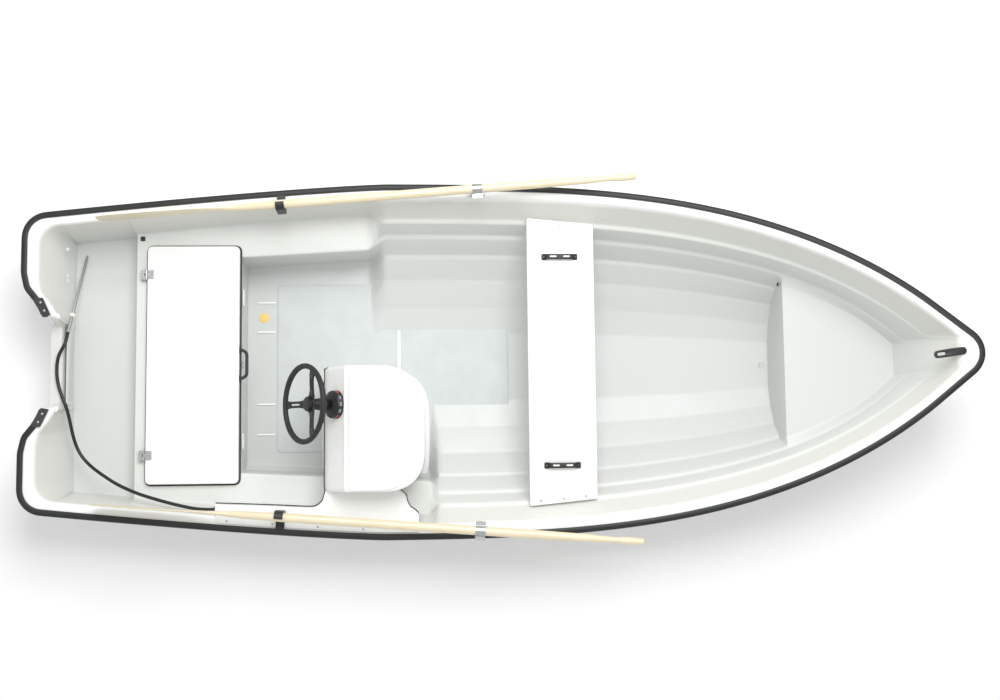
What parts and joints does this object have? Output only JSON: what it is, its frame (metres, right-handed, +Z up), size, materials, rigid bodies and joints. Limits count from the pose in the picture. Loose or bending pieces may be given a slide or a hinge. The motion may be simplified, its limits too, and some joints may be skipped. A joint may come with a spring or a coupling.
{
  "type": "open rowing boat with helm console",
  "caption": "Open moulded rowing boat with a helm console, hinged locker lid, thwart, bow bench and a pair of stowed oars, afloat at its waterline.",
  "frame": {"origin": "amidships on the centreline at the waterline", "axes": "+X towards the bow, +Y to port, +Z up"},
  "size_m": [4.5, 1.7564, 0.9555],
  "materials": {
    "gelcoat": "gloss",
    "rail_rubber": "matt",
    "coated_plate": "satin",
    "cable_jacket": "satin",
    "varnished_spruce": "varnished",
    "white_nylon": "satin",
    "stainless_steel": "satin",
    "grey_plastic": "satin",
    "black_plastic": "satin"
  },
  "bodies": {
    "boat": {"hull_shell": "gelcoat", "cockpit_liner": "gelcoat", "rub_rail": "rail_rubber", "rail_end_port": "coated_plate", "rail_end_starboard": "coated_plate", "transom_pad": "grey_plastic", "lid_hinge_port": "stainless_steel", "lid_hinge_starboard": "stainless_steel", "locker_latch": "stainless_steel", "locker_vents": "gelcoat", "middle_thwart": "gelcoat", "thwart_handle_port": "black_plastic", "thwart_handle_starboard": "black_plastic", "bow_cleat": "black_plastic", "bow_eye": "stainless_steel", "console": "gelcoat", "helm_bezel": "black_plastic", "rowlock_socket_port": "stainless_steel", "rowlock_socket_starboard": "stainless_steel", "oar_clip_port": "black_plastic", "oar_clip_starboard": "black_plastic", "cable_gland": "black_plastic", "steering_cable": "cable_jacket", "cable_sleeve": "stainless_steel", "cable_nut": "white_nylon", "cable_rod": "stainless_steel", "floor_drain": "black_plastic", "bench_grommet": "black_plastic", "deck_drain": "black_plastic"},
    "lid": {"locker_lid": "gelcoat", "lid_leaf_port": "stainless_steel", "lid_leaf_starboard": "stainless_steel", "lid_handle": "black_plastic"},
    "helm_wheel": {"helm_shaft": "black_plastic", "steering_wheel": "black_plastic", "wheel_hub": "black_plastic"},
    "port_oar": {"oar_port": "varnished_spruce", "oar_clamp_port": "stainless_steel"},
    "starboard_oar": {"oar_starboard": "varnished_spruce", "oar_clamp_starboard": "stainless_steel"}
  },
  "joints": [
    {"name": "helm_turn", "type": "hinge", "parent": "boat", "child": "helm_wheel", "pos_m": [-0.91781, -0.213, 0.65166], "axis": [-0.8191, 0, 0.5736], "range_deg": [-540, 540]},
    {"name": "lid_hinge", "type": "hinge", "parent": "boat", "child": "lid", "pos_m": [-1.71, 0, 0.28], "axis": [0, -1, 0], "range_deg": [0, 100]},
    {"name": "port_oar_swing", "type": "hinge", "parent": "boat", "child": "port_oar", "pos_m": [-0.118, 0.801, 0.55], "axis": [0, 0, -1], "range_deg": [0, 105]},
    {"name": "starboard_oar_swing", "type": "hinge", "parent": "boat", "child": "starboard_oar", "pos_m": [-0.118, -0.801, 0.55], "axis": [0, 0, 1], "range_deg": [0, 105]}
  ]
}
